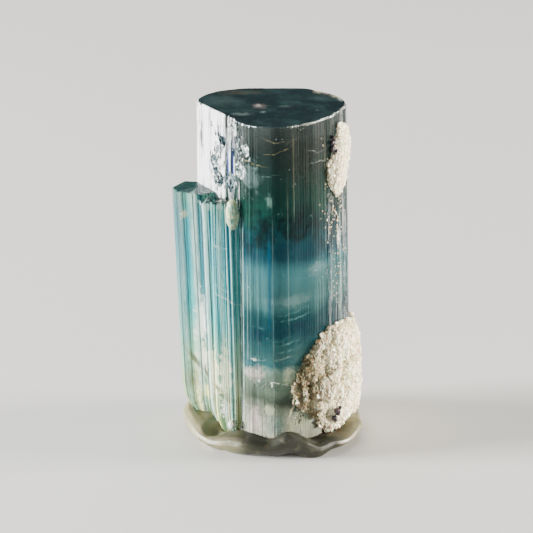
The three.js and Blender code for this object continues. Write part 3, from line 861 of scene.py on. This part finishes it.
def crust_ground(name, shape):
    """A patch of crust wrapped round the main crystal, as a closed block."""
    edge, (front_lump, back_lump) = shape["edge"], shape["thickness"]
    rows, columns = shape["rows"], shape["columns"]
    across, up = np.meshgrid(np.linspace(0, 1, columns), np.linspace(0, 1, rows))
    z = edge[0][0] + (edge[-1][0] - edge[0][0]) * up
    heights = [e[0] for e in edge]
    front, back = (np.interp(z, heights, [e[side] for e in edge]) for side in (1, 2))
    seed = shape["seed"]
    ragged = fractal(np.stack([up * 0 + seed, up * 14, up * 0], -1), 1.0, 4)
    degrees = front + 2.2 * ragged + (back - front) * across
    bulge = np.sqrt(np.sin(np.pi * across).clip(0) * np.sin(np.pi * up).clip(0))
    skin = on_main(degrees, SKIN, z)
    size, height = shape["lumps"]
    lumps = 1 + height * (2 * (1 - 1.6 * np.abs(fractal(skin * (1, 1, 0.4) + seed, size, 4))) - 1)
    depth = CRUST_BASE + (front_lump + (back_lump - front_lump) * across) * bulge * lumps.clip(0.1)
    points = np.concatenate([on_main(degrees, depth, z).reshape(-1, 3), skin.reshape(-1, 3)])
    index, quads = sheet(rows, columns)
    count = rows * columns
    rim = np.concatenate([index[0, :-1], index[:-1, -1], index[-1, :0:-1], index[:0:-1, 0]])
    after = np.roll(rim, -1)
    walls = np.stack([rim, rim + count, after + count, after], -1)
    made = new_object(name, points, quads.tolist() + (quads[:, ::-1] + count).tolist() + walls.tolist())
    cover_ground(made, np.repeat([1.0, 0.0], count))
    return made


def dust_ground():
    """A grid just under the skin, for the crumbs to stand on."""
    degrees, z = np.meshgrid(*(np.arange(*span) for span in DUST_SPANS))
    cover = np.zeros(z.shape)
    for direction, half, height, half_height, share in DUST:
        away = (turned(degrees, direction) / half) ** 2 + ((z - height) / half_height) ** 2
        cover = np.maximum(cover, share * np.exp(-away))
    cover *= (0.6 + fractal(np.stack([degrees * 0.25, z * 0.7, z * 0], -1), 1.0, 3)).clip(0)
    made = new_object("dust_ground", on_main(degrees, -0.05, z).reshape(-1, 3), sheet(*z.shape)[1].tolist())
    cover_ground(made, cover)
    return made


def grains_tree():
    """Sugary grains strewn over a ground: blocky and rounded ones, each turned and sized at random."""
    n = Nodes(bpy.data.node_groups.new("sugary_grains", "GeometryNodeTree"))
    given = n.takes({"Ground": "Geometry", "Keep Ground": "Bool", "Seed": "Int", "Finish": "Material",
                     **numbers("Grains", "Smallest", "Largest")})

    def random(kind, low, high, step):
        """A random value for each grain, unlike the other steps' values."""
        made = n.add("FunctionNodeRandomValue", data_type=kind)
        least, most = [socket for socket in made.inputs if socket.enabled][:2]
        n.feed(least, low)
        n.feed(most, high)
        n.fill(made, {"Seed": given["Seed"] + float(step)})
        return Wire(n, next(socket for socket in made.outputs if socket.enabled))

    cover = n.wire("GeometryNodeInputNamedAttribute", {"Name": "cover"}, "Attribute", data_type="FLOAT")
    strewn = n.wire("GeometryNodeDistributePointsOnFaces", {
        "Mesh": given["Ground"], "Density": cover * given["Grains"], "Seed": given["Seed"]}, "Points",
        distribute_method="RANDOM")
    block = n.wire("GeometryNodeMeshCube", {"Size": (0.9, 0.7, 1.9)}, "Mesh")
    pebble = n.wire("GeometryNodeMeshIcoSphere", {"Radius": 0.6}, "Mesh")
    placed = n.wire("GeometryNodeInstanceOnPoints", {
        "Points": strewn,
        "Instance": n.gather("GeometryNodeGeometryToInstance", block, pebble),
        "Pick Instance": True,
        "Instance Index": random("INT", 0, 1, 1),
        "Rotation": random("FLOAT_VECTOR", (-0.6, -0.6, 0), (0.6, 0.6, math.tau), 2),
        "Scale": random("FLOAT", given["Smallest"], given["Largest"], 3),
    })
    toned = n.wire("GeometryNodeStoreNamedAttribute", {
        "Geometry": placed, "Name": "tone", "Value": random("FLOAT", 0.2, 1.0, 4)},
        data_type="FLOAT", domain="INSTANCE")
    real = n.wire("GeometryNodeRealizeInstances", {0: toned})
    kept = n.wire("GeometryNodeSwitch", {"Switch": given["Keep Ground"], "True": given["Ground"]},
                  input_type="GEOMETRY")
    joined = n.gather("GeometryNodeJoinGeometry", kept, real)
    finished = n.wire("GeometryNodeSetMaterial", {"Geometry": joined, "Material": given["Finish"]})
    n.gives("Crust", "Geometry", finished)
    return n.tree


def grown_over(ground, name, tree, values):
    """The plain mesh that the tree makes of a ground, which is removed."""
    modifier = ground.modifiers.new(name, "NODES")
    modifier.node_group = tree
    for item in tree.interface.items_tree:
        if item.name in values and item.in_out == "INPUT":
            modifier[item.identifier] = values[item.name]
    graph = bpy.context.evaluated_depsgraph_get()
    mesh = bpy.data.meshes.new_from_object(ground.evaluated_get(graph))
    bpy.data.objects.remove(ground)
    mesh.name = name
    return in_scene(name, mesh)


def albite_material(speckle):
    made, s, shader, _ = material("albite")
    place = s.place()
    tone = s.attribute("tone")
    patches = s.noise(place, 450.0, 4.0, 0.6)
    specks = s.group(speckle, Place=place, Scale=4000.0, Least=0.62, Most=0.7, Strength=0.35)
    colour = s.mix(tone, linear(196, 178, 142), linear(255, 246, 222))
    x = s.parts(place)[0]
    # Painted shade: the left part of the crust, away from the light on the right, is darker and browner.
    painted_shade = s.window(x + (patches - 0.5) * 0.004, 0.0042, 0.0072, 0.95, 0.0)
    colour = s.mix(painted_shade, colour, linear(92, 86, 52), "MULTIPLY")
    colour = s.mix(s.window(patches, 0.5, 0.72, 0.0, 0.35), colour, linear(226, 204, 160))
    s.fill(shader, {
        "Base Color": s.mix(specks, colour, linear(150, 132, 104)),
        "Roughness": s.window(tone, 0.2, 1.0, 0.75, 0.38),
        "Normal": s.bump(s.noise(place, 9000.0, 3.0, 0.6), 0.00002, 0.6),
        "Subsurface Weight": 0.25,
        "Subsurface Scale": 0.0006,
        "IOR": 1.53,
    })
    return made


# ---- the dark grains ----
def dark_material(speckle):
    made, s, shader, _ = material("dark_mineral")
    faces = s.group(speckle, Place=s.place(), Scale=3000.0, Least=0.4, Most=0.7, Strength=1.0)
    s.fill(shader, {
        "Base Color": s.mix(faces, linear(22, 16, 22), linear(64, 48, 58)),
        "Roughness": s.window(faces, 0.0, 1.0, 0.2, 0.5),
        "Normal": s.bump(faces, 0.00003, 0.6),
    })
    return made


def seat(grounds, direction, z):
    """How far outside the main outline the ground lies there, on average."""
    reached = []
    for turn, step in SEAT_RAYS:
        start, end = (Vector(on_main(direction + turn, outside, z + step)) * MM for outside in SEAT_SPAN)
        hits = [tree.ray_cast(start, end - start) for tree in grounds]
        reached.append(SEAT_SPAN[0] - min(hit[3] for hit in hits if hit[0]) / MM)
    return sum(reached) / len(reached)


def dark_grains(name, string, grounds, surface):
    """Small broken crystals, each seated on the ground under it, joined in one mesh."""
    graph = bpy.context.evaluated_depsgraph_get()
    grounds = [BVHTree.FromObject(ground, graph) for ground in grounds]
    made = None
    for direction, z, radius in string:
        centre = on_main(direction, seat(grounds, direction, z) + 0.6 * radius, z)
        grain = lump(name, centre, (0.95 * radius, 0.95 * radius, 1.2 * radius), 0, 0.45, 1, 2.0)
        if made:
            combine(made, grain, "UNION")
        else:
            made = grain
    dress(made, surface)
    return made


# ---- the pad ----
PAD_SECTION = [(0, 0), (0.76, 0), (0.86, 0.1), (0.95, 0.32), (1, 0.58), (0.99, 0.8), (0.94, 0.97),
               (0.87, 1), (0.75, 1), (0, 1)]  # shares of the reach and of the lip, from under the middle
PAD_RING = [(0, 9.3, 2.2), (35, 9.4, 2.4), (70, 9.2, 2.6), (105, 9.1, 2.5), (140, 9.5, 2.7),
            (172, 9.2, 2.7), (196, 8.9, 2.6), (222, 8.9, 2.0), (248, 8.6, 2.5), (268, 8.3, 2.2),
            (284, 8.4, 2.9), (306, 8.9, 1.8), (330, 9.5, 1.7), (346, 9.7, 2.2)]  # direction, reach, lip
# outside: how far the middle of the mark is from the main outline; depth: how far it is pressed down
THUMB_MARK = {"direction": 219, "z": 2.3, "radius": 1.6, "depth": 0.5, "outside": 2.22}
PAD_NOTCH = {"direction": 304, "z": 0.35, "radius": 2.3, "depth": 0.75, "outside": 1.06}
PAD_WAVES = {"fineness": 0.45, "inwards": 0.12, "upwards": 0.09}
PAD_COLUMNS, PAD_ROWS = 300, 72


def pad_ring(degrees):
    """Reach and lip of the pad in a direction, easing from one mark to the next."""
    marks = np.array(PAD_RING + [(360, *PAD_RING[0][1:])])
    after = np.searchsorted(marks[:, 0], degrees, side="right").clip(1, len(marks) - 1)
    low, high = marks[after - 1], marks[after]
    share = (degrees - low[:, 0]) / (high[:, 0] - low[:, 0])
    share = share * share * (3 - 2 * share)
    return (low + (high - low) * share[:, None])[:, 1:].T


def pad_section():
    """Shares of the reach and of the lip along the rounded section, without its two ends."""
    section = np.array(PAD_SECTION, float)
    steps = np.linspace(0, len(section) - 1, PAD_ROWS)
    share, rise = (np.interp(steps, np.arange(len(section)), section[:, i]) for i in (0, 1))
    for _ in range(3):
        share[2:-2], rise[2:-2] = (np.convolve(v, (0.25, 0.5, 0.25), "same")[2:-2] for v in (share, rise))
    rise[share * (rise < 0.02) > 0] = 0
    return share[1:-1], rise[1:-1]


def pad():
    """A pressed lump with a wavy lip, a thumb mark and a notch, and room for what stands in it."""
    degrees = np.arange(PAD_COLUMNS) / PAD_COLUMNS * 360
    reach, lip = pad_ring(degrees)
    share, rise = (v[:, None] for v in pad_section())
    angles = np.radians(degrees)
    points = np.stack([share * reach * np.cos(angles), share * reach * np.sin(angles), rise * lip], -1)
    for mark in (THUMB_MARK, PAD_NOTCH):
        distance = face_radius(MAIN_FACES, mark["direction"]) + mark["outside"]
        a = math.radians(mark["direction"])
        centre = np.array([distance * math.cos(a), distance * math.sin(a), mark["z"]])
        away = np.linalg.norm((points - centre) / mark["radius"], axis=-1)
        push = mark["depth"] * (1 - away.clip(0, 1) ** 2) ** 2
        points[..., 2] -= push * (rise > 0.05)
    wave = fractal(points, PAD_WAVES["fineness"], 3)[..., None] * (rise > 0.03)[..., None]
    outward = points * (1, 1, 0) / np.linalg.norm(points * (1, 1, 0), axis=-1, keepdims=True).clip(0.1)
    points -= PAD_WAVES["inwards"] * wave.clip(0) * outward * (share > 0.8)[..., None]
    points += wave * np.array([0, 0, PAD_WAVES["upwards"]]) * (share < 1)[..., None]
    points[..., 2] = points[..., 2].clip(0)
    ends = [(0, 0, 0), (0, 0, points[-1, :, 2].mean())]
    made = new_object("putty_rest", np.concatenate([points.reshape(-1, 3), ends]),
                      loft_faces(len(points), PAD_COLUMNS))
    combine(made, crystals(2 * SKIN), "DIFFERENCE")
    for polygon in made.data.polygons:
        polygon.use_smooth = True
    return made


def putty_material(speckle):
    made, s, shader, _ = material("putty")
    place = s.place()
    smears = s.noise(s.stretched(place, (1.0, 1.0, 2.5)), 240.0, 5.0, 0.6, 0.8)
    grime = s.group(speckle, Place=place, Scale=900.0, Least=0.56, Most=0.74, Strength=0.5)
    # Painted shade: the front is darker, except at its left and right ends.
    x, y, _ = s.parts(place)
    shade = s.window(x + smears * 0.003, -0.005, -0.001) * s.window(x, 0.0065, 0.0085, 1.0, 0.0)
    shade = shade * s.math("LESS_THAN", y, 0.0)
    colour = s.mix(s.window(smears, 0.35, 0.7), linear(104, 101, 74), linear(72, 70, 48))
    colour = s.mix(shade, colour, linear(84, 92, 70), "MULTIPLY")
    s.fill(shader, {
        "Base Color": s.mix(grime, colour, linear(96, 90, 68)),
        "Roughness": s.window(smears, 0.3, 0.7, 0.35, 0.6),
        "Normal": s.bump(smears + grime * 0.5, 0.00012, 0.5),
        "Subsurface Weight": 0.35,
        "Subsurface Scale": 0.0012,
        "IOR": 1.48,
    })
    return made


# ---- build ----
def finish(piece, slot, *stands_for):
    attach(piece, "root")
    if stands_for:
        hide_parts(*stands_for)


crystal = tourmaline()
dress(crystal, tourmaline_material())
finish(crystal, "tourmaline", "tourmaline_crystal")

speckle = mark_group("speckle", numbers("Scale", "Least", "Most", "Strength"), speckle_mask)
albite = albite_material(speckle)
tree = grains_tree()
for name, ground, values, stands_for in (
    ("lower_albite", crust_ground("lower_ground", LOWER_CRUST),
     {"Keep Ground": True, "Grains": 3.0e7, "Smallest": 0.00016, "Largest": 0.00042, "Seed": 3},
     ["lower_albite_crust"]),
    ("upper_albite", crust_ground("upper_ground", UPPER_CRUST),
     {"Keep Ground": True, "Grains": 5.0e7, "Smallest": 0.0001, "Largest": 0.00028, "Seed": 5},
     ["upper_albite_crust"]),
    ("albite_crumbs", dust_ground(),
     {"Keep Ground": False, "Grains": 1.2e7, "Smallest": 0.00005, "Largest": 0.00015, "Seed": 8}, []),
):
    finish(grown_over(ground, name, tree, {**values, "Finish": albite}), "albite", *stands_for)

dark = dark_material(speckle)
for name, string, crust, node in (("lower_dark", LOWER_GRAINS, "lower_albite", "lower_dark_grains"),
                                  ("upper_dark", UPPER_GRAINS, "upper_albite", "upper_dark_grains")):
    finish(dark_grains(name, string, (crystal, bpy.data.objects[crust]), dark), "dark_mineral", node)

rest = pad()
dress(rest, putty_material(speckle))
finish(rest, "putty", "putty_pad")

# ---- the room ----
FLOOR_HALF = 3000.0  # half its side
corners = [(x * FLOOR_HALF, y * FLOOR_HALF, -SKIN) for x, y in ((-1, -1), (1, -1), (1, 1), (-1, 1))]
floor = new_object("floor", corners, [[0, 1, 2, 3]])
floor_paint, paint, floor_shader, _ = material("floor")
paint.fill(floor_shader, {"Base Color": linear(206, 205, 202), "Roughness": 0.7})
dress(floor, floor_paint)

world = bpy.data.worlds.new("studio")
bpy.context.scene.world = world
world.use_nodes = True
background = world.node_tree.nodes["Background"]
background.inputs["Color"].default_value = (0.86, 0.88, 0.92, 1)
background.inputs["Strength"].default_value = 0.15

LIT_POINT = Vector((0, 0, 17)) * MM


def soft_light(name, place, size, power, colour):
    """A rectangular light that faces the middle of the specimen; place and size in metres."""
    data = bpy.data.lights.new(name, "AREA")
    data.shape = "RECTANGLE"
    data.size, data.size_y = size
    data.energy = power
    data.color = colour
    made = in_scene(name, data)
    made.location = place
    made.rotation_euler = (LIT_POINT - Vector(place)).to_track_quat("-Z", "Y").to_euler()


soft_light("overhead", (0.0, 0.25, 0.9), (0.7, 0.7), 6.5, (1.0, 0.99, 0.98))
soft_light("left_strip", (-0.6, -0.06, 0.065), (0.2, 0.1), 44.0, (1.0, 0.99, 0.96))
soft_light("right_strip", (0.6, 0.0, 0.065), (0.2, 0.1), 21.0, (1.0, 0.94, 0.84))
soft_light("front_fill", (-0.12, -0.4, 0.25), (0.3, 0.3), 0.4, (0.95, 0.97, 1.0))

CAMERA_TARGET = Vector((-0.45, 0.0, 18.15)) * MM
CAMERA_ELEVATION = math.radians(19.5)
VIEW_WIDTH = 54.3 * MM
camera_data = bpy.data.cameras.new("camera")
camera_data.lens = 200
camera_data.sensor_width = 36
camera_data.clip_start = 0.01
camera_data.clip_end = 20
camera = in_scene("camera", camera_data)
distance = VIEW_WIDTH * camera_data.lens / camera_data.sensor_width
direction = Vector((0, -math.cos(CAMERA_ELEVATION), math.sin(CAMERA_ELEVATION)))
camera.location = CAMERA_TARGET + direction * distance
camera.rotation_euler = (-direction).to_track_quat("-Z", "Y").to_euler()
bpy.context.scene.camera = camera
